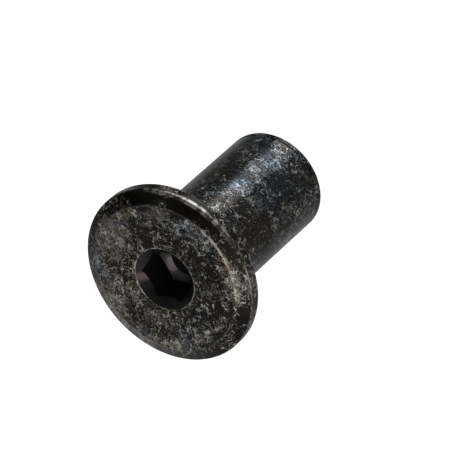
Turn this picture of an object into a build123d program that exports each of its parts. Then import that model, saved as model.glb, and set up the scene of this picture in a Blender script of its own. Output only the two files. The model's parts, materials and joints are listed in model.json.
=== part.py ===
"""Barrel half of a binding barrel screw: a one-piece cold-headed steel nut that clamps panels.

The barrel stands on its open end at Z = 0, and the wide bevelled head is on top with its hexagon
socket facing up. The axis is Z. All sizes are in millimetres.
"""

import os
from math import cos, pi, radians, tan

from build123d import *

# Head: a disc whose flat face falls away a little to a wide bevel, with a plain rim below
head_diameter = 15.0
head_thickness = 1.75
bevel_width = 1.15
bevel_depth = 0.7  # from the face down to the rim
face_fall = 0.1  # how far the face drops away towards its edge
face_fall_width = 1.1
face_roll_radius = 9.0  # eases the flat middle of the face into its falling edge
face_edge_radius = 0.3  # between the face and the bevel
rim_edge_radius = 0.15  # between the bevel and the rim
seat_edge_radius = 0.25  # between the rim and the underside

# Barrel: the plain sleeve that passes through the panels
barrel_diameter = 8.8
grip_length = 15.0  # from the underside of the head to the open end
neck_radius = 0.25
barrel_end_radius = 0.2

# Hexagon socket: a punch with a blunt conical tip, below a countersunk lead-in
key_sides = 6
key_size = 4.0  # across the flats
key_turn = 13.0  # degrees from +X to the middle of a flat
key_corner_rounding = 0.15
socket_depth = 3.0  # from the face to the hexagon's lower corners
punch_tip_angle = 140.0
punch_tip_diameter = 2.8
lead_in_margin = 0.37  # from the hexagon's corners out to the rim of the lead-in
lead_in_angle = 90.0
lead_in_edge_radius = 0.1

# Blind threaded bore from the open end, at the thread's minor diameter
thread_diameter = 6.0
thread_pitch = 1.0
thread_angle = 60.0
drill_point_angle = 118.0
bore_mouth_margin = 0.3  # from the thread's major diameter out to the rim of its countersink
bore_mouth_angle = 90.0
web_thickness = 1.3  # solid metal on the axis between the drill point and the socket


def cone_height(radius, full_angle):
    return radius / tan(radians(full_angle / 2))


head_radius = head_diameter / 2
face_radius = head_radius - bevel_width
barrel_radius = barrel_diameter / 2
face_height = grip_length + head_thickness
key_corner_radius = key_size / 2 / cos(pi / key_sides)
lead_in_radius = key_corner_radius + lead_in_margin
punch_tip_radius = punch_tip_diameter / 2
socket_corner_height = face_height - socket_depth
socket_floor_height = socket_corner_height - cone_height(
    key_corner_radius - punch_tip_radius, punch_tip_angle
)
thread_triangle_height = thread_pitch * cos(radians(thread_angle / 2))
bore_radius = thread_diameter / 2 - thread_triangle_height * 5 / 8  # the minor radius of a metric thread
bore_mouth_radius = thread_diameter / 2 + bore_mouth_margin
drill_point_height = socket_floor_height - web_thickness
bore_depth = drill_point_height - cone_height(bore_radius, drill_point_angle)

# The punch that forms the socket: a hexagon bar whose end is turned to a blunt cone
with BuildPart() as punch:
    with BuildSketch(Plane.XY.offset(socket_floor_height)) as key_section:
        corner_turn = key_turn + 180 / key_sides
        RegularPolygon(key_size / 2, key_sides, major_radius=False, rotation=corner_turn)
        fillet(key_section.vertices(), key_corner_rounding)
    extrude(amount=face_height - socket_floor_height)
    with BuildSketch(Plane.XZ):
        with BuildLine():
            Polyline(
                (0, socket_floor_height),
                (punch_tip_radius, socket_floor_height),
                (key_corner_radius, socket_corner_height),
                (key_corner_radius, face_height),
                (0, face_height),
                close=True,
            )
        make_face()
    revolve(axis=Axis.Z, mode=Mode.INTERSECT)

with BuildPart() as barrel_nut:
    # The blank: half of its section, with every outside corner rounded, turned about the axis
    with BuildSketch(Plane.XZ):
        with BuildLine():
            FilletPolyline(
                (0, 0),
                (barrel_radius, 0),
                (barrel_radius, grip_length),
                (head_radius, grip_length),
                (head_radius, face_height - bevel_depth),
                (face_radius, face_height - face_fall),
                (face_radius - face_fall_width, face_height),
                (0, face_height),
                radius=[
                    barrel_end_radius,
                    neck_radius,
                    seat_edge_radius,
                    rim_edge_radius,
                    face_edge_radius,
                    face_roll_radius,
                ],
            )
            Line((0, face_height), (0, 0))
        make_face()
    revolve(axis=Axis.Z)

    # The socket, and the lead-in that scallops its flats
    add(punch.part, mode=Mode.SUBTRACT)
    with BuildSketch(Plane.XZ):
        with BuildLine():
            Polyline(
                (0, face_height),
                (lead_in_radius, face_height),
                (0, face_height - cone_height(lead_in_radius, lead_in_angle)),
                close=True,
            )
        make_face()
    revolve(axis=Axis.Z, mode=Mode.SUBTRACT)
    face_edges = barrel_nut.edges().filter_by(GeomType.CIRCLE).group_by(Axis.Z)[-1]
    lead_in_edge = face_edges.sort_by(SortBy.RADIUS)[0]
    fillet(lead_in_edge, lead_in_edge_radius)

    # The bore: drilled from the open end, with a drill point and a countersunk mouth
    with BuildSketch(Plane.XZ):
        with BuildLine():
            Polyline(
                (0, 0),
                (bore_mouth_radius, 0),
                (bore_radius, cone_height(bore_mouth_radius - bore_radius, bore_mouth_angle)),
                (bore_radius, bore_depth),
                (0, drill_point_height),
                close=True,
            )
        make_face()
    revolve(axis=Axis.Z, mode=Mode.SUBTRACT)

barrel_nut.part.label = "barrel_nut"
os.makedirs("parts", exist_ok=True)
export_step(barrel_nut.part, "parts/barrel_nut.step")
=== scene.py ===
"""Dresses a steel barrel nut in its black oxide finish, with its cut thread and its worn corners.

Everything is in metres. The nut stands on its barrel's open end at Z = 0, with its head on top.
"""

import json
import math
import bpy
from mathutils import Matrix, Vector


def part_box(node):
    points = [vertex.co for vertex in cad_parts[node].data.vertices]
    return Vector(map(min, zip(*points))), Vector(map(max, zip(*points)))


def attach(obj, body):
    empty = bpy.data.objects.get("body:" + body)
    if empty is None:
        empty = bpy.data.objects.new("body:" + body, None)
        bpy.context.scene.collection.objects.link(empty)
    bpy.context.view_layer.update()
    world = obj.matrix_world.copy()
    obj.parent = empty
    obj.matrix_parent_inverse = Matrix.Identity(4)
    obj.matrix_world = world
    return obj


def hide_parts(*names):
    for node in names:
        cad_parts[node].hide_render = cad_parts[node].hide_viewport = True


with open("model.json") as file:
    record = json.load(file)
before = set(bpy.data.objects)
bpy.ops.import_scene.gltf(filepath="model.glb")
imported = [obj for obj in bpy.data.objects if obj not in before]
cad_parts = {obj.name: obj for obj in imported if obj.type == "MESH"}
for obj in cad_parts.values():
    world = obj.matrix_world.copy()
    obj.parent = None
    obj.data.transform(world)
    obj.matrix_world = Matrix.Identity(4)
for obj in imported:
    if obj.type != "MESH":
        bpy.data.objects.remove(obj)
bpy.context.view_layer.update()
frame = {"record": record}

from types import SimpleNamespace

import bmesh
import bpy
from bpy.props import FloatProperty, FloatVectorProperty, PointerProperty
from mathutils import Matrix, Vector

bl_info = {
    "name": "Black Oxide Barrel Nut",
    "version": (1, 0, 0),
    "blender": (4, 5, 0),
    "location": "3D View > Sidebar > Barrel Nut",
    "description": "Models a headed barrel nut with its finish, and the studio around it",
    "category": "Object",
}

MM = 0.001
NODE = "barrel_nut"
BODY = "root"

MOUNTS = {mount["name"]: mount for mount in frame["record"]["mounts"]}
NODE_LOW, NODE_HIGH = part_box(NODE)

SIDES = 192  # flats round every turned surface
RING_SPACING = 0.15 * MM  # between the rings that keep the outside's triangles short
CLOSE = 0.004 * MM  # how near a named place an edge has to be to be picked
SMOOTH_BELOW = math.radians(30)  # edges that bend less than this are shaded smooth


# ---------------------------------------------------------------- sizes and colours to change


def length(name, description, default):
    """A size in metres, shown in the scene's units."""
    return FloatProperty(name=name, description=description, default=default, unit="LENGTH")


def turn(name, description, degrees):
    """An angle, kept in radians and given in degrees."""
    return FloatProperty(
        name=name, description=description, default=math.radians(degrees),
        unit="ROTATION", subtype="ANGLE",
    )


def linear(hex_colour):
    """Turns an sRGB hex colour into linear red, green, blue."""
    shades = [int(hex_colour[i : i + 2], 16) / 255 for i in (1, 3, 5)]
    return [s / 12.92 if s <= 0.04045 else ((s + 0.055) / 1.055) ** 2.4 for s in shades]


def colour(name, description, hex_colour):
    """A colour to choose, given in sRGB."""
    return FloatVectorProperty(
        name=name, description=description, default=linear(hex_colour), subtype="COLOR",
        size=3, min=0.0, max=1.0,
    )


class NutSizes(bpy.types.PropertyGroup):
    """Sizes of the nut. Those that the CAD frame states are read from it."""

    head_diameter: length("Head diameter", "Across the rim of the head", NODE_HIGH.x - NODE_LOW.x)
    height: length("Height", "From the open end to the face of the head", NODE_HIGH.z)
    grip_length: length(
        "Grip length", "From the open end to the underside of the head", MOUNTS["seat"]["pos_m"][2]
    )
    barrel_radius: length(
        "Barrel radius", "Of the plain sleeve", MOUNTS["barrel"]["dims"]["r_mm"] * MM
    )
    bore_radius: length(
        "Bore radius", "Of the tapping hole, the thread's minor radius",
        MOUNTS["thread"]["dims"]["r_mm"] * MM,
    )
    bevel_width: length("Bevel width", "How far in from the rim the bevel reaches", 1.15 * MM)
    bevel_depth: length("Bevel depth", "From the face down to the rim", 0.7 * MM)
    face_fall: length("Face fall", "How far the face drops away towards its edge", 0.1 * MM)
    face_fall_width: length("Face fall width", "Width of the falling edge of the face", 1.1 * MM)
    key_size: length("Key size", "Of the hexagon socket, across its flats", 4.0 * MM)
    key_corner: length("Key corner", "Rounding of the socket's upright corners", 0.15 * MM)
    key_turn: turn("Key turn", "From +X to the middle of a flat of the socket", 13.0)
    socket_depth: length("Socket depth", "From the face to the hexagon's lower corners", 3.0 * MM)
    punch_tip_diameter: length("Punch tip", "Flat middle of the socket's floor", 2.8 * MM)
    punch_tip_angle: turn("Punch angle", "Full angle of the socket's conical floor", 140.0)
    lead_in_margin: length(
        "Lead-in margin", "From the hexagon's corners out to the lead-in's rim", 0.37 * MM
    )
    thread_diameter: length("Thread diameter", "Major diameter of the internal thread", 6.0 * MM)
    thread_pitch: length("Thread pitch", "Rise of the thread in one turn", 1.0 * MM)
    bore_mouth_margin: length(
        "Bore mouth margin", "From the major radius out to the rim of the countersink", 0.3 * MM
    )
    web_thickness: length(
        "Web", "Metal on the axis between the drill point and the socket", 1.3 * MM
    )
    end_line_height: length(
        "End line height", "From the open end up to the fine line turned round the barrel", 0.56 * MM
    )
    end_line_width: length("End line width", "Across that line", 0.2 * MM)
    end_line_depth: length("End line depth", "Of that line, into the barrel", 0.065 * MM)


class FinishColours(bpy.types.PropertyGroup):
    """What the bare and the blackened metal reflect."""

    warm_oxide: colour("Warm oxide", "Blackened steel where it looks brown", "#36332f")
    cool_oxide: colour("Cool oxide", "Blackened steel where it looks blue", "#2f343a")
    warm_tarnish: colour("Warm tarnish", "Thin oxide where it looks brown", "#726659")
    cool_tarnish: colour("Cool tarnish", "Thin oxide where it looks blue", "#596774")
    warm_steel: colour("Warm steel", "Rubbed steel where it looks brown", "#e6e3d8")
    cool_steel: colour("Cool steel", "Rubbed steel where it looks blue", "#d6e0e6")
    socket_warm: colour("Warm socket", "Punched walls where they look brown", "#565250")
    socket_cool: colour("Cool socket", "Punched walls where they look blue", "#4f5156")


class StudioSettings(bpy.types.PropertyGroup):
    """Where the camera stands, and how it is turned."""

    lens: FloatProperty(
        name="Lens", description="Focal length on a 36 mm sensor", default=352.3, unit="CAMERA"
    )
    camera_depth: length(
        "Camera depth", "From the camera's plane to the middle of the face", 341.9 * MM
    )
    camera_elevation: turn("Camera elevation", "Above the horizon", 46.446)
    camera_roll: turn("Camera roll", "Turn of the camera about its own line of sight", -131.886)
    face_right: length(
        "Face to the right", "From the middle of the view to the middle of the face", -4.761 * MM
    )
    face_up: length(
        "Face up", "From the middle of the view to the middle of the face", -4.129 * MM
    )


# ---------------------------------------------------------------- fixed forms of the nut

HEXAGON = 6
FACE_ROLL_RADIUS = 9.0 * MM
FACE_EDGE_RADIUS = 0.3 * MM
RIM_EDGE_RADIUS = 0.15 * MM
SEAT_EDGE_RADIUS = 0.25 * MM
NECK_RADIUS = 0.25 * MM
BARREL_END_RADIUS = 0.2 * MM
LEAD_IN_EDGE_RADIUS = 0.1 * MM
MOUTH_EDGE_RADIUS = 0.08 * MM
DRILL_POINT_ANGLE = math.radians(118)
PUNCH_OVERSHOOT = 1.0 * MM  # how far the punch stands above the face
THREAD_HALF_ANGLE = math.radians(30)
THREAD_CREST = 1 / 8  # flat at the major diameter, as a share of the pitch
THREAD_OVERCUT = 0.1 * MM  # how far the tap reaches in past the wall of the tapping hole


def cone_height(radius, full_angle):
    """Height of a cone of that radius and full angle."""
    return radius / math.tan(full_angle / 2)


def work_out(sizes):
    """The radii and heights that follow from the nut's sizes."""
    key_corner_radius = sizes.key_size / 2 / math.cos(math.pi / HEXAGON)
    tip_radius = sizes.punch_tip_diameter / 2
    corner_height = sizes.height - sizes.socket_depth
    floor_height = corner_height - cone_height(key_corner_radius - tip_radius, sizes.punch_tip_angle)
    mouth_radius = sizes.thread_diameter / 2 + sizes.bore_mouth_margin
    drill_point = floor_height - sizes.web_thickness
    face_radius = sizes.head_diameter / 2 - sizes.bevel_width
    return SimpleNamespace(
        head_radius=sizes.head_diameter / 2,
        rim_top=sizes.height - sizes.bevel_depth,
        face_radius=face_radius,
        face_low=sizes.height - sizes.face_fall,
        flat_radius=face_radius - sizes.face_fall_width,
        key_corner_radius=key_corner_radius,
        lead_in_radius=key_corner_radius + sizes.lead_in_margin,
        tip_radius=tip_radius,
        floor_height=floor_height,
        thread_radius=sizes.thread_diameter / 2,
        mouth_radius=mouth_radius,
        mouth_depth=mouth_radius - sizes.bore_radius,
        drill_point=drill_point,
        bore_depth=drill_point - cone_height(sizes.bore_radius, DRILL_POINT_ANGLE),
    )


# ---------------------------------------------------------------- modelling helpers


def pick(kind, test):
    """Selects in edit mode the edges or faces that pass a test, and nothing else."""
    bpy.ops.mesh.select_mode(type={"edges": "EDGE", "faces": "FACE"}[kind])
    bpy.ops.mesh.select_all(action="DESELECT")
    data = bpy.context.object.data
    mesh = bmesh.from_edit_mesh(data)
    for element in getattr(mesh, kind):
        if test(element):
            element.select_set(True)
    mesh.select_flush_mode()
    bmesh.update_edit_mesh(data)


def section_point(point):
    """A point as (distance from the axis, height), which is where it lies in the nut's section."""
    return Vector((math.hypot(point.x, point.y), point.z))


def rings_at(*corner):
    """A test for the edges of the ring at a corner of the section."""
    at = Vector(corner)
    return lambda edge: all((section_point(v.co) - at).length < CLOSE for v in edge.verts)


def rungs_between(low, high):
    """A test for the edges that run along a straight stretch of the section."""
    low, high = Vector(low), Vector(high)
    along = (high - low).normalized()

    def test(edge):
        first, last = (section_point(v.co) for v in edge.verts)
        off = max(abs(along.cross(first - low)), abs(along.cross(last - low)))
        inside = all(-CLOSE < along.dot(p - low) < (high - low).length + CLOSE for p in (first, last))
        return off < CLOSE and inside and (first - last).length > CLOSE

    return test


def start_piece(name):
    """Names the primitive just added, puts its place in its mesh, and opens it in edit mode."""
    piece = bpy.context.object
    piece.name = name
    piece.data.name = name
    bpy.ops.object.transform_apply(location=True, rotation=True, scale=True)
    bpy.ops.object.mode_set(mode="EDIT")
    bpy.ops.mesh.select_all(action="SELECT")
    return piece


def extrude_through(start, corners):
    """Extrudes the selected face through the (radius, height) corners of the section."""
    radius, height = start
    for next_radius, next_height in corners:
        rise = (0, 0, next_height - height)
        bpy.ops.mesh.extrude_region_move(TRANSFORM_OT_translate={"value": rise})
        spread = next_radius / radius
        bpy.ops.transform.resize(value=(spread, spread, 1), center_override=(0, 0, next_height))
        radius, height = next_radius, next_height


def round_corner(corners, index, fillet, segments):
    """Rounds the ring at one of the section's corners."""
    before, at, after = (Vector(corners[i]) for i in (index - 1, index, index + 1))
    bend = (at - before).angle(after - at)
    pick("edges", rings_at(*at))
    bpy.ops.mesh.bevel(offset=fillet * math.tan(bend / 2), segments=segments, affect="EDGES")


def cut_rings(low, high):
    """Divides a straight stretch of the section into rings, evenly spaced."""
    pick("edges", rungs_between(low, high))
    run = (Vector(high) - Vector(low)).length
    bpy.ops.mesh.subdivide(number_cuts=max(1, round(run / RING_SPACING) - 1))


def close_mesh():
    """Merges doubled points and turns every face outwards, then leaves edit mode."""
    bpy.ops.mesh.select_all(action="SELECT")
    bpy.ops.mesh.remove_doubles(threshold=0.01 * CLOSE)
    bpy.ops.mesh.normals_make_consistent(inside=False)
    bpy.ops.object.mode_set(mode="OBJECT")


def make_active(piece):
    """Leaves one piece selected and active."""
    bpy.ops.object.select_all(action="DESELECT")
    bpy.context.view_layer.objects.active = piece
    piece.select_set(True)


def apply_newest(piece):
    """Applies the modifier that was added last."""
    bpy.ops.object.modifier_apply(modifier=piece.modifiers[-1].name)


def cut_with(piece, tool, operation="DIFFERENCE"):
    """Cuts a piece with a tool, or keeps what both share, and removes the tool."""
    make_active(piece)
    bpy.ops.object.modifier_add(type="BOOLEAN")
    cut = piece.modifiers[-1]
    cut.operation = operation
    cut.object = tool
    cut.solver = "EXACT"
    apply_newest(piece)
    bpy.data.objects.remove(tool)


# ---------------------------------------------------------------- the nut, piece by piece


def turn_blank(sizes, at):
    """The headed blank with its bore drilled: one closed skin, pulled through its section."""
    line, half = sizes.end_line_height, sizes.end_line_width / 2
    outside = [
        (0, 0),
        (sizes.barrel_radius, 0),
        (sizes.barrel_radius, line - half),
        (sizes.barrel_radius - sizes.end_line_depth, line),
        (sizes.barrel_radius, line + half),
        (sizes.barrel_radius, sizes.grip_length),
        (at.head_radius, sizes.grip_length),
        (at.head_radius, at.rim_top),
        (at.face_radius, at.face_low),
        (at.flat_radius, sizes.height),
        (at.lead_in_radius, sizes.height),
        (sizes.key_size / 4, sizes.height - at.lead_in_radius + sizes.key_size / 4),
    ]
    bore = [
        (sizes.barrel_radius, 0),
        (at.mouth_radius, 0),
        (sizes.bore_radius, at.mouth_depth),
        (sizes.bore_radius, at.bore_depth),
    ]
    bpy.ops.mesh.primitive_circle_add(
        vertices=SIDES, radius=sizes.barrel_radius, fill_type="NGON", location=(0, 0, 0)
    )
    blank = start_piece("nut_in_black_oxide")
    extrude_through(outside[1], outside[2:])
    pick("faces", lambda face: abs(face.calc_center_median().z) < CLOSE and len(face.verts) == SIDES)
    extrude_through(bore[0], bore[1:])
    rise = (0, 0, at.drill_point - at.bore_depth)
    bpy.ops.mesh.extrude_region_move(TRANSFORM_OT_translate={"value": rise})
    bpy.ops.mesh.merge(type="CENTER")

    # which corner of the outside, its rounding, and how many flats that takes
    for index, fillet, segments in (
        (1, BARREL_END_RADIUS, 4),
        (5, NECK_RADIUS, 4),
        (6, SEAT_EDGE_RADIUS, 5),
        (7, RIM_EDGE_RADIUS, 4),
        (8, FACE_EDGE_RADIUS, 4),
        (9, FACE_ROLL_RADIUS, 5),
        (10, LEAD_IN_EDGE_RADIUS, 4),
    ):
        round_corner(outside, index, fillet, segments)
    round_corner(bore, 1, MOUTH_EDGE_RADIUS, 2)
    for low, high in zip(outside[4:10], outside[5:11]):
        cut_rings(low, high)
    close_mesh()
    return blank


def make_punch(sizes, at):
    """The hexagon punch with its blunt conical tip, to cut the socket with."""
    top = sizes.height + PUNCH_OVERSHOOT
    bpy.ops.mesh.primitive_cylinder_add(
        vertices=HEXAGON, radius=at.key_corner_radius, depth=top - at.floor_height,
        location=(0, 0, (top + at.floor_height) / 2), rotation=(0, 0, sizes.key_turn),
    )
    punch = start_piece("hexagon_punch")
    pick("edges", lambda edge: abs(edge.verts[0].co.z - edge.verts[1].co.z) > CLOSE)
    side_bend = math.pi / HEXAGON
    bpy.ops.mesh.bevel(offset=sizes.key_corner * math.tan(side_bend), segments=6, affect="EDGES")
    close_mesh()

    spread = (top - at.floor_height) * math.tan(sizes.punch_tip_angle / 2)
    bpy.ops.mesh.primitive_cone_add(
        vertices=SIDES, radius1=at.tip_radius, radius2=at.tip_radius + spread,
        depth=top - at.floor_height, location=(0, 0, (top + at.floor_height) / 2),
    )
    tip = start_piece("punch_tip")
    close_mesh()
    cut_with(punch, tip, "INTERSECT")
    return punch


def make_tap(sizes, at):
    """A helical ridge with the thread's section, to cut the bore with."""
    root_radius = sizes.bore_radius - THREAD_OVERCUT
    depth = at.thread_radius - root_radius
    crest_width = sizes.thread_pitch * THREAD_CREST
    root_width = crest_width + 2 * depth * math.tan(THREAD_HALF_ANGLE)
    start = (root_radius + depth / 2, 0, -sizes.thread_pitch)
    bpy.ops.mesh.primitive_plane_add(size=MM, location=start, rotation=(math.pi / 2, 0, 0))
    tap = start_piece("thread_tap")
    bpy.ops.transform.resize(value=(depth / MM, 1, root_width / MM), center_override=start)
    pick("edges", lambda edge: all(v.co.x > start[0] for v in edge.verts))
    bpy.ops.transform.resize(value=(1, 1, crest_width / root_width), center_override=start)
    bpy.ops.mesh.select_all(action="SELECT")
    bpy.ops.mesh.delete(type="ONLY_FACE")
    bpy.ops.object.mode_set(mode="OBJECT")

    bpy.ops.object.modifier_add(type="SCREW")
    helix = tap.modifiers[-1]
    helix.screw_offset = sizes.thread_pitch
    helix.iterations = math.floor(at.bore_depth / sizes.thread_pitch) + 1
    helix.steps = SIDES
    helix.render_steps = SIDES
    apply_newest(tap)
    bpy.ops.object.mode_set(mode="EDIT")
    pick("edges", lambda edge: edge.is_boundary)
    bpy.ops.mesh.fill()
    close_mesh()
    return tap


def model_nut(sizes):
    """The whole nut as one mesh: the blank, its punched socket and its cut thread."""
    at = work_out(sizes)
    bpy.ops.object.select_all(action="DESELECT")
    nut = turn_blank(sizes, at)
    cut_with(nut, make_punch(sizes, at))
    cut_with(nut, make_tap(sizes, at))
    bpy.ops.object.mode_set(mode="EDIT")
    close_mesh()
    bpy.ops.object.shade_smooth_by_angle(angle=SMOOTH_BELOW)
    bpy.ops.object.mode_set(mode="EDIT")
    # the ring round the punch's flat tip bends less than that, and is still a crisp edge
    pick("edges", rings_at(at.tip_radius, at.floor_height))
    bpy.ops.mesh.mark_sharp()
    bpy.ops.object.mode_set(mode="OBJECT")
    return nut


# ---------------------------------------------------------------- materials


def add(tree, kind, options=None, **inputs):
    """Adds a node, sets its options, and gives each named or numbered input its value or link."""
    made = tree.nodes.new(kind)
    for option, value in (options or {}).items():
        setattr(made, option, value)
    for key, value in inputs.items():
        socket = made.inputs[int(key[1:])] if key[1:].isdigit() else made.inputs[key.replace("_", " ")]
        if isinstance(value, bpy.types.Node):
            value = value.outputs[0]
        if isinstance(value, bpy.types.NodeSocket):
            tree.links.new(value, socket)
        else:
            socket.default_value = value
    return made


def new_material(name):
    """An empty material, and its node tree."""
    material = bpy.data.materials.new(name)
    material.use_nodes = True
    material.node_tree.nodes.clear()
    return material, material.node_tree


def mixed(tree, parts, operation="MAXIMUM"):
    """Puts a list of values together, two at a time."""
    whole = parts[0]
    for part in parts[1:]:
        whole = add(tree, "ShaderNodeMath", {"operation": operation}, _0=whole, _1=part)
    return whole


def scratches(tree, place, rubbed, spacing, ring, width, wander, patch, seeds):
    """Fine curled scratches, kept only in small patches, and more of them where it is rubbed.

    With a ring radius they are arcs round scattered points; with none they are a crazed network.
    """
    feature = "F1" if ring else "DISTANCE_TO_EDGE"
    layers = []
    for seed in seeds:
        # each layer reads the same patterns at a place of its own
        moved = add(tree, "ShaderNodeVectorMath", {"operation": "ADD"}, _0=place,
                    _1=(seed * MM, 0.37 * seed * MM, 0.71 * seed * MM))
        swirl = add(tree, "ShaderNodeTexNoise", Vector=moved, Scale=1 / (0.4 * MM), Detail=0.0)
        bent = add(tree, "ShaderNodeVectorMath", {"operation": "MULTIPLY_ADD"},
                   _0=swirl.outputs["Color"], _1=(wander, wander, wander), _2=moved)
        cells = add(tree, "ShaderNodeTexVoronoi", {"feature": feature}, Vector=bent, Scale=1 / spacing)
        level = add(tree, "ShaderNodeMath", {"operation": "SUBTRACT"}, _0=cells.outputs["Distance"],
                    _1=ring / spacing)
        off = add(tree, "ShaderNodeMath", {"operation": "ABSOLUTE"}, _0=level)
        line = add(tree, "ShaderNodeMapRange", {"interpolation_type": "SMOOTHSTEP"}, Value=off,
                   From_Min=0.2 * width / spacing, From_Max=0.6 * width / spacing,
                   To_Min=1.0, To_Max=0.0)
        breaks = add(tree, "ShaderNodeTexNoise", Vector=moved, Scale=1 / patch, Detail=0.0)
        cover = add(tree, "ShaderNodeMath", {"operation": "ADD"}, _0=breaks, _1=rubbed)
        kept = add(tree, "ShaderNodeMapRange", {"interpolation_type": "SMOOTHSTEP"}, Value=cover,
                   From_Min=0.565, From_Max=0.61)
        press = add(tree, "ShaderNodeTexNoise", Vector=moved, Scale=1 / (0.7 * MM), Detail=0.0)
        depth = add(tree, "ShaderNodeMapRange", {"interpolation_type": "SMOOTHSTEP"}, Value=press,
                    From_Min=0.38, From_Max=0.6, To_Min=0.2, To_Max=1.0)
        layers.append(mixed(tree, [line, kept, depth], "MULTIPLY"))
    return mixed(tree, layers)


def patches(tree, place, table):
    """Soft round patches: one for each row of (place in mm, reach in mm, strength)."""
    spots = []
    for middle, reach, strength in table:
        away = add(tree, "ShaderNodeVectorMath", {"operation": "DISTANCE"}, _0=place,
                   _1=Vector(middle) * MM)
        spots.append(add(tree, "ShaderNodeMapRange", {"interpolation_type": "SMOOTHSTEP"},
                         Value=away.outputs["Value"], From_Min=0.0, From_Max=reach * MM,
                         To_Min=strength, To_Max=0.0))
    return mixed(tree, spots, "ADD")


def ring_wear(tree, section, ring, width, strength):
    """Wear on a turned corner: full on the ring itself, and none past that width from it."""
    near = add(tree, "ShaderNodeVectorMath", {"operation": "DISTANCE"}, _0=section, _1=(*ring, 0))
    return add(tree, "ShaderNodeMapRange", {"interpolation_type": "SMOOTHSTEP"},
               Value=near.outputs["Value"], From_Min=0.0, From_Max=width, To_Min=strength, To_Max=0.0)


# where the finish isn't even: rows of (place in mm, reach in mm, strength)

RUBBED = [  # more or less than elsewhere: first on the face
    ((4.6, 0.9, 16.7), 2.4, 0.04),
    ((-3.2, 3.6, 16.7), 2.6, 0.05),
    ((-5.2, -2.2, 16.7), 2.4, -0.05),
    ((-2.0, -4.0, 16.7), 2.2, -0.06),
    ((1.2, -5.7, 16.7), 1.8, 0.12),
    ((2.8, 5.4, 16.5), 3.0, -0.03),
    ((-0.8, 5.7, 16.7), 2.6, -0.08),
    ((3.7, -4.3, 16.7), 1.8, 0.09),
    ((-4.6, -5.4, 16.3), 2.8, 0.24),  # on the bevel, partly rubbing and partly painted light, and clean on its other side
    ((6.1, -4.3, 16.1), 2.5, -0.45),
    ((3.6, -6.7, 16.2), 2.5, -0.45),
    ((1.0, -7.3, 16.2), 1.8, -0.15),
    ((5.0, -5.6, 15.3), 2.8, 0.32),  # on the rim
    ((-4.0, 0.2, 16.7), 1.5, -0.06),  # beside the socket
    ((1.5, -4.1, 7.9), 2.0, 0.09),  # on the barrel
    ((1.5, -4.1, 4.2), 2.5, 0.01),
    ((-2.2, -3.8, 9.6), 3.0, -0.04),
]
KNOCKED_EDGE_AND_HIGHLIGHT = [((-3.4, -5.3, 16.6), 5.0, 0.3)]  # a band along the face's edge: partly rubbed, partly a painted highlight
NICKED_EDGE = [((0.6, -6.3, 16.6), 4.0, 1.8)]  # the edge itself, worn to bright metal
KNOCKED_CORNER_AND_HIGHLIGHT = [((2.9, -6.9, 16.1), 5.8, 3.0)]  # the corner of the rim: partly worn to bright metal, partly a painted highlight on that side
HEAD_LEAN = (4.5, 7, 0)  # how fast the head's marks and haze grow, so that it gets lighter, for each metre along X and Y
BLUED = [  # where the oxide is thicker and looks blue
    ((2.3, -5.4, 16.7), 1.6, 0.9),
    ((0.6, -5.8, 16.7), 1.4, 0.9),
    ((-1.0, -5.7, 16.7), 1.3, 0.7),
    ((1.5, -4.1, 7.4), 1.8, 0.6),
    ((0.6, -4.4, 3.6), 3.4, 0.5),
    ((-0.8, -4.3, 6.4), 2.8, 0.7),
]
BROWNED = [  # where it is thinner and looks brown
    ((1.4, -4.1, 10.6), 1.8, 0.9),
    ((-2.4, -3.7, 9.4), 3.2, 0.9),
    ((1.5, -4.1, 1.0), 1.3, 0.9),
    # this row warms the painted highlight on the rim's corner
    ((2.9, -6.9, 16.1), 3.6, 0.9),
    ((-3.6, -6.0, 16.3), 2.2, 0.6),
    ((-5.4, -3.8, 16.5), 1.6, 0.6),
]


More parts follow.
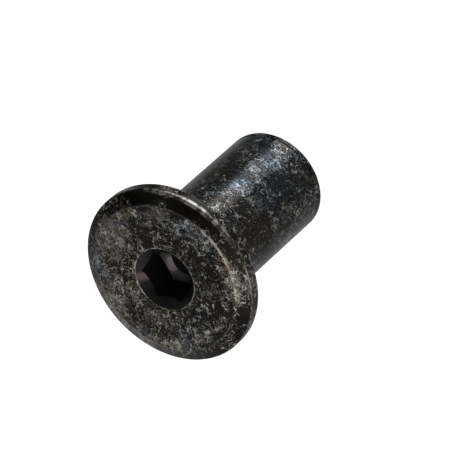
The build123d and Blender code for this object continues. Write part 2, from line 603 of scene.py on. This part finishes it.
def oxide_outside(sizes, finish):
    """Black oxide on tumbled steel: near-black and oily, rubbed through to grey in fine curled marks."""
    at = work_out(sizes)
    material, tree = new_material("black_oxide_on_tumbled_steel")
    place = add(tree, "ShaderNodeTexCoord").outputs["Object"]
    flat = add(tree, "ShaderNodeVectorMath", {"operation": "MULTIPLY"}, _0=place, _1=(1, 1, 0))
    radius = add(tree, "ShaderNodeVectorMath", {"operation": "LENGTH"}, _0=flat).outputs["Value"]
    height = add(tree, "ShaderNodeSeparateXYZ", Vector=place).outputs["Z"]
    section = add(tree, "ShaderNodeCombineXYZ", X=radius, Y=height)

    # how much of the surface is rubbed: patches a few millimetres across, more where the face
    # falls away to its edge, less on the bevel and the barrel; it also carries marks and haze that
    # grow towards one side of the head, and painted highlights on the face's edge and the bevel
    cloud = add(tree, "ShaderNodeTexNoise", Vector=place, Scale=1 / (1.9 * MM), Detail=2.0)
    uneven = add(tree, "ShaderNodeMapRange", Value=cloud, From_Min=0.3, From_Max=0.7,
                 To_Min=-0.11, To_Max=0.09)
    across = add(tree, "ShaderNodeVectorMath", {"operation": "DOT_PRODUCT"}, _0=place,
                 _1=HEAD_LEAN).outputs["Value"]
    on_head = add(tree, "ShaderNodeMapRange", Value=height, From_Min=sizes.grip_length - 0.1 * MM,
                  From_Max=sizes.grip_length + 0.1 * MM)
    lean = add(tree, "ShaderNodeMath", {"operation": "MULTIPLY"}, _0=across, _1=on_head)
    fall = ring_wear(tree, section, (at.face_radius - 0.5 * MM, sizes.height), 0.8 * MM, 0.07)
    bevel = ring_wear(tree, section, (at.head_radius - 0.4 * MM, at.rim_top + 0.2 * MM), 0.5 * MM, -0.07)
    rim = ring_wear(tree, section, (at.head_radius, sizes.grip_length + 0.4 * MM), 0.7 * MM, 0.06)
    # a band just inside the face's edge, kept to one side: partly rubbing, partly a painted highlight
    band = ring_wear(tree, section, (at.face_radius + 0.1 * MM, at.face_low), 0.4 * MM, 1.0)
    knocked_edge_and_highlight = add(tree, "ShaderNodeMath", {"operation": "MULTIPLY"}, _0=band,
                       _1=patches(tree, place, KNOCKED_EDGE_AND_HIGHLIGHT))
    on_barrel = add(tree, "ShaderNodeMath", {"operation": "SUBTRACT"}, _0=1.0, _1=on_head)
    plainer = add(tree, "ShaderNodeMath", {"operation": "MULTIPLY"}, _0=on_barrel, _1=-0.04)
    rubbed = mixed(tree, [uneven, lean, fall, bevel, rim, knocked_edge_and_highlight, plainer,
                          patches(tree, place, RUBBED)], "ADD")

    # scratches under 0.1 mm wide, as arcs and as networks, and fainter ones between them: wider
    # than real tumbling marks, so that they show
    arcs = scratches(tree, place, rubbed, 1.1 * MM, 0.4 * MM, 0.08 * MM, 0.7 * MM, 0.55 * MM, (1, 11, 23))
    webs = scratches(tree, place, rubbed, 1.6 * MM, 0, 0.08 * MM, 1.0 * MM, 0.55 * MM, (31, 47, 53))
    faint = scratches(tree, place, rubbed, 0.5 * MM, 0.18 * MM, 0.06 * MM, 0.5 * MM, 0.35 * MM, (5, 71, 97))
    deep = add(tree, "ShaderNodeMath", {"operation": "MAXIMUM"}, _0=arcs, _1=webs)
    grain = add(tree, "ShaderNodeTexNoise", Vector=place, Scale=1 / (0.2 * MM), Detail=4.0,
                Roughness=0.7)
    dulled = ring_wear(tree, section, (at.face_radius - 0.5 * MM, sizes.height), 0.9 * MM, 0.045)
    worn_grain = mixed(tree, [grain, rubbed, dulled, lean], "ADD")
    haze = add(tree, "ShaderNodeMapRange", {"interpolation_type": "SMOOTHSTEP"}, Value=worn_grain,
               From_Min=0.5, From_Max=0.7)
    pits = add(tree, "ShaderNodeTexNoise", Vector=place, Scale=1 / (0.1 * MM), Detail=0.0)
    # pinholes where it is rubbed, and fainter dots all over the barrel, which wasn't pressed smooth;
    # both are drawn 0.1 mm apart, coarser than real grit, so that they show
    specks = add(tree, "ShaderNodeMapRange", {"interpolation_type": "SMOOTHSTEP"}, Value=pits,
                 From_Min=0.7, From_Max=0.76, To_Min=0.0, To_Max=0.6)
    open_place = add(tree, "ShaderNodeMapRange", Value=rubbed, From_Min=-0.12, From_Max=0.02)
    pinholes = add(tree, "ShaderNodeMath", {"operation": "MULTIPLY"}, _0=specks, _1=open_place)
    dots = add(tree, "ShaderNodeMapRange", {"interpolation_type": "SMOOTHSTEP"}, Value=pits,
               From_Min=0.52, From_Max=0.66, To_Min=0.0, To_Max=0.14)
    stipple = add(tree, "ShaderNodeMath", {"operation": "MULTIPLY"}, _0=dots, _1=on_barrel)

    # bright metal round the rim's corner, strongest on one side: partly wear, partly a painted highlight
    corner = ring_wear(tree, section, (at.head_radius, at.rim_top), 0.36 * MM, 1.0)
    polished_corner_and_highlight = add(tree, "ShaderNodeMath", {"operation": "MULTIPLY"}, _0=corner,
                          _1=patches(tree, place, KNOCKED_CORNER_AND_HIGHLIGHT))
    face_edge = ring_wear(tree, section, (at.face_radius + 0.04 * MM, at.face_low), 0.16 * MM, 1.0)
    nicked_edge = add(tree, "ShaderNodeMath", {"operation": "MULTIPLY"}, _0=face_edge,
                      _1=patches(tree, place, NICKED_EDGE))
    corners = mixed(tree, [
        ring_wear(tree, section, (at.head_radius, at.rim_top), 0.14 * MM, 0.6),
        polished_corner_and_highlight,
        ring_wear(tree, section, (at.face_radius, at.face_low), 0.16 * MM, 0.3),
        nicked_edge,
        ring_wear(tree, section, (at.lead_in_radius, sizes.height), 0.12 * MM, 1.0),
        ring_wear(tree, section, (sizes.barrel_radius, 0), 0.14 * MM, 0.5),
        ring_wear(tree, section, (at.head_radius, sizes.grip_length), 0.14 * MM, 0.5),
    ])
    knocks = add(tree, "ShaderNodeTexNoise", Vector=place, Scale=1 / (0.5 * MM), Detail=3.0)
    knocked = add(tree, "ShaderNodeMapRange", {"interpolation_type": "SMOOTHSTEP"}, Value=knocks,
                  From_Min=0.42, From_Max=0.6, To_Min=0.15, To_Max=1.0)
    edge = add(tree, "ShaderNodeMath", {"operation": "MULTIPLY"}, _0=corners, _1=knocked)
    faint_marks = add(tree, "ShaderNodeMath", {"operation": "MULTIPLY"}, _0=faint, _1=0.45)
    worn = mixed(tree, [deep, faint_marks, pinholes, stipple, edge])
    bare = add(tree, "ShaderNodeClamp", Value=worn)

    # the oxide's tint drifts between brown and blue, and so does the steel's under it
    drift = add(tree, "ShaderNodeTexNoise", Vector=place, Scale=1 / (2.6 * MM), Detail=2.0)
    slow = add(tree, "ShaderNodeMapRange", Value=drift, From_Min=0.45, From_Max=0.75, To_Min=-0.25,
               To_Max=0.8)
    flecks = add(tree, "ShaderNodeTexNoise", Vector=place, Scale=1 / (0.45 * MM), Detail=1.0)
    quick = add(tree, "ShaderNodeMapRange", Value=flecks, From_Min=0.3, From_Max=0.7,
                To_Min=-0.35, To_Max=0.35)
    tone = add(tree, "ShaderNodeMath", {"operation": "ADD"}, _0=slow, _1=quick)
    barrel_tone = add(tree, "ShaderNodeMath", {"operation": "MULTIPLY"}, _0=on_barrel, _1=0.45)
    blued = mixed(tree, [tone, barrel_tone, patches(tree, place, BLUED)], "ADD")
    cool = add(tree, "ShaderNodeMath", {"operation": "SUBTRACT", "use_clamp": True}, _0=blued,
               _1=patches(tree, place, BROWNED))
    oxide = add(tree, "ShaderNodeMix", {"data_type": "RGBA"}, _0=cool, _6=(*finish.warm_oxide, 1),
                _7=(*finish.cool_oxide, 1))
    steel = add(tree, "ShaderNodeMix", {"data_type": "RGBA"}, _0=cool, _6=(*finish.warm_steel, 1),
                _7=(*finish.cool_steel, 1))
    tarnish = add(tree, "ShaderNodeMix", {"data_type": "RGBA"}, _0=cool,
                  _6=(*finish.warm_tarnish, 1), _7=(*finish.cool_tarnish, 1))
    film = add(tree, "ShaderNodeMix", {"data_type": "RGBA"}, _0=haze, _6=oxide.outputs[2],
               _7=tarnish.outputs[2])
    colour = add(tree, "ShaderNodeMix", {"data_type": "RGBA"}, _0=bare, _6=film.outputs[2],
                 _7=steel.outputs[2])
    roughness = add(tree, "ShaderNodeMapRange", Value=bare, To_Min=0.2, To_Max=0.42)
    bump = add(tree, "ShaderNodeBump", Strength=0.3, Distance=0.01 * MM, Height=bare)
    shader = add(tree, "ShaderNodeBsdfPrincipled", Base_Color=colour.outputs[2], Metallic=1.0,
                 Roughness=roughness, Normal=bump)
    add(tree, "ShaderNodeOutputMaterial", Surface=shader)
    return material


def oxide_inside(finish):
    """Black oxide on a punched or cut wall: smooth, dark and hardly rubbed."""
    material, tree = new_material("black_oxide_on_punched_steel")
    place = add(tree, "ShaderNodeTexCoord").outputs["Object"]
    cloud = add(tree, "ShaderNodeTexNoise", Vector=place, Scale=1 / (0.8 * MM), Detail=3.0)
    colour = add(tree, "ShaderNodeMix", {"data_type": "RGBA"}, _0=cloud, _6=(*finish.socket_warm, 1),
                 _7=(*finish.socket_cool, 1))
    roughness = add(tree, "ShaderNodeMapRange", Value=cloud, To_Min=0.12, To_Max=0.22)
    bump = add(tree, "ShaderNodeBump", Strength=0.15, Distance=0.01 * MM, Height=cloud)
    shader = add(tree, "ShaderNodeBsdfPrincipled", Base_Color=colour.outputs[2], Metallic=0.7,
                 Roughness=roughness, Normal=bump)
    add(tree, "ShaderNodeOutputMaterial", Surface=shader)
    return material


def white_floor():
    """An opal acrylic sheet, lit from below: pale and even, with no colour of its own."""
    material, tree = new_material("opal_acrylic_sheet")
    shader = add(tree, "ShaderNodeBsdfPrincipled", Base_Color=(*linear("#f4f4f4"), 1), Roughness=0.5,
                 Emission_Color=(*linear("#ffffff"), 1), Emission_Strength=0.95)
    add(tree, "ShaderNodeOutputMaterial", Surface=shader)
    return material


# ---------------------------------------------------------------- operators


def finish_nut(nut, sizes, finish):
    """Gives the outside its rubbed finish, and the socket and the bore their smooth one."""
    at = work_out(sizes)
    nut.data.materials.clear()
    nut.data.materials.append(oxide_outside(sizes, finish))
    nut.data.materials.append(oxide_inside(finish))
    make_active(nut)
    bpy.ops.object.mode_set(mode="EDIT")

    def inside(face):
        middle = section_point(face.calc_center_median())
        socket_radius = at.lead_in_radius - LEAD_IN_EDGE_RADIUS
        in_socket = middle.x < socket_radius and middle.y > at.floor_height - CLOSE
        in_bore = middle.x < at.mouth_radius - CLOSE and middle.y < at.drill_point
        return in_socket or in_bore

    pick("faces", inside)
    nut.active_material_index = 1
    bpy.ops.object.material_slot_assign()
    bpy.ops.object.mode_set(mode="OBJECT")


class NUT_OT_model(bpy.types.Operator):
    """Model the barrel nut in the place of its CAD solid"""

    bl_idname = "barrel_nut.model"
    bl_label = "Model the nut"

    def execute(self, context):
        sizes = context.scene.nut_sizes
        nut = model_nut(sizes)
        finish_nut(nut, sizes, context.scene.nut_finish)
        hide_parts(NODE)
        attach(nut, BODY)
        return {"FINISHED"}


def view_axes(studio):
    """Right, up and back of the camera, turned about its own line of sight."""
    elevation, roll = studio.camera_elevation, studio.camera_roll
    back = Vector((0, -math.cos(elevation), math.sin(elevation)))
    level_up = Vector((0, math.sin(elevation), math.cos(elevation)))
    level_right = Vector((1, 0, 0))
    right = math.cos(roll) * level_right + math.sin(roll) * level_up
    up = math.cos(roll) * level_up - math.sin(roll) * level_right
    return right, up, back


def place_camera(studio, face_height):
    """The camera, rolled so that the barrel points up to the right."""
    right, up, back = view_axes(studio)
    face = Vector((0, 0, face_height))
    place = face - studio.face_right * right - studio.face_up * up + studio.camera_depth * back
    bpy.ops.object.camera_add(location=place)
    camera = bpy.context.object
    camera.matrix_world = Matrix.Translation(place) @ Matrix((right, up, back)).transposed().to_4x4()
    camera.data.lens = studio.lens
    camera.data.clip_start = 10 * MM
    camera.data.clip_end = 10
    bpy.context.scene.camera = camera


FLOOR_RADIUS = 2.0
FLOOR_SIDES = 64

# name, direction from the nut, (width, height) across, distance, radiance, colour
SOFT_BOXES = [
    ("tall_soft_box", (0.582, -0.694, -0.423), (76 * MM, 240 * MM), 160 * MM, 1.4, "#f2f6ff"),
    ("overhead_lamp", (-0.20, 0.16, 0.967), (56 * MM, 70 * MM), 160 * MM, 1.05, "#fff1ea"),
    ("warm_lamp", (-0.74, -0.40, 0.54), (70 * MM, 70 * MM), 160 * MM, 0.95, "#ffded2"),
]


def place_lights(middle):
    """Soft boxes that face the nut, each with a radiance and not a power."""
    for name, direction, (width, tall), distance, radiance, tint in SOFT_BOXES:
        away = Vector(direction).normalized()
        turned = away.to_track_quat("Z", "Y").to_euler()
        bpy.ops.object.light_add(type="AREA", location=middle + distance * away, rotation=turned)
        lamp = bpy.context.object
        lamp.name = name
        lamp.data.shape = "RECTANGLE"
        lamp.data.size = width
        lamp.data.size_y = tall
        lamp.data.energy = radiance * math.pi * width * tall  # the power that gives that radiance
        lamp.data.color = linear(tint)


# the room: a direction, how near to it the change starts and ends, and the radiance there
ROOM = 0.26
ROOM_SIDES = [
    ((0.0, 0.689, -0.725), (0.66, 0.97), 0.29),  # the bright table behind the nut
    ((-0.30, 0.95, -0.05), (0.86, 0.98), 0.38),  # a pale wall past it
    ((-0.88, 0.45, 0.15), (0.90, 0.97), 0.15),  # a gap between that wall and the warm lamp
    ((-0.52, 0.02, 0.85), (0.88, 0.96), 0.50),  # the ceiling near the lamps
    ((0.70, 0.10, -0.70), (0.88, 0.97), 0.12),  # the table's shaded side
    ((-0.62, -0.28, -0.73), (0.86, 0.96), 0.19),  # and the side of it under the camera
    ((0.55, 0.05, 0.83), (0.77, 0.85), 0.2),  # a black card over the front of it
    ((0.88, 0.35, 0.30), (0.80, 0.90), 0.05),  # and the card's shaded edge
    ((-0.25, -0.72, 0.65), (0.86, 0.96), 0.06),  # the dark side, where the camera stands
    ((0.55, -0.58, 0.60), (0.74, 0.84), 0.03),
]


def surround():
    """A dim, pale and even room, with its brighter and darker sides."""
    world = bpy.data.worlds.new("pale_room")
    world.use_nodes = True
    tree = world.node_tree
    tree.nodes.clear()
    way = add(tree, "ShaderNodeTexCoord").outputs["Generated"]
    level = ROOM
    for direction, (start, end), radiance in ROOM_SIDES:
        facing = add(tree, "ShaderNodeVectorMath", {"operation": "DOT_PRODUCT"}, _0=way, _1=direction)
        share = add(tree, "ShaderNodeMapRange", {"interpolation_type": "SMOOTHSTEP"},
                    Value=facing.outputs["Value"], From_Min=start, From_Max=end)
        level = add(tree, "ShaderNodeMix", _0=share, _2=level, _3=radiance)
    light = add(tree, "ShaderNodeBackground", Color=(1, 1, 1, 1), Strength=level)
    add(tree, "ShaderNodeOutputWorld", Surface=light)
    bpy.context.scene.world = world


class NUT_OT_stage(bpy.types.Operator):
    """Set up the pale floor, the soft light and the camera"""

    bl_idname = "barrel_nut.stage"
    bl_label = "Set the stage"

    def execute(self, context):
        scene = context.scene
        bpy.ops.mesh.primitive_circle_add(vertices=FLOOR_SIDES, radius=FLOOR_RADIUS, fill_type="NGON")
        floor = context.object
        floor.name = "floor"
        floor.data.materials.append(white_floor())
        # the camera alone sees it, so it neither lights the nut nor shows in it
        floor.visible_diffuse = False
        floor.visible_glossy = False
        floor.visible_shadow = False
        surround()
        place_lights(Vector((0, 0, scene.nut_sizes.height / 2)))
        place_camera(scene.nut_studio, scene.nut_sizes.height)
        scene.view_settings.view_transform = "Standard"
        return {"FINISHED"}


class NUT_PT_panel(bpy.types.Panel):
    """Lists the steps and the sizes in the sidebar"""

    bl_idname = "NUT_PT_panel"
    bl_label = "Barrel Nut"
    bl_space_type = "VIEW_3D"
    bl_region_type = "UI"
    bl_category = "Barrel Nut"

    def draw(self, context):
        for step in (NUT_OT_model, NUT_OT_stage):
            self.layout.operator(step.bl_idname, text=step.bl_label)
        scene = context.scene
        for group in (scene.nut_sizes, scene.nut_finish, scene.nut_studio):
            box = self.layout.box()
            for name in group.bl_rna.properties.keys():
                if name not in {"rna_type", "name"}:
                    box.prop(group, name)


CLASSES = (NutSizes, FinishColours, StudioSettings, NUT_OT_model, NUT_OT_stage, NUT_PT_panel)


def register():
    """Makes the classes and the scene's settings known to Blender."""
    for cls in CLASSES:
        bpy.utils.register_class(cls)
    bpy.types.Scene.nut_sizes = PointerProperty(type=NutSizes)
    bpy.types.Scene.nut_finish = PointerProperty(type=FinishColours)
    bpy.types.Scene.nut_studio = PointerProperty(type=StudioSettings)


def unregister():
    """Takes them away again."""
    del bpy.types.Scene.nut_studio
    del bpy.types.Scene.nut_finish
    del bpy.types.Scene.nut_sizes
    for cls in reversed(CLASSES):
        bpy.utils.unregister_class(cls)


def main():
    """Models the nut and sets its stage."""
    register()
    bpy.ops.barrel_nut.model()
    bpy.ops.barrel_nut.stage()


if __name__ == "__main__":
    main()
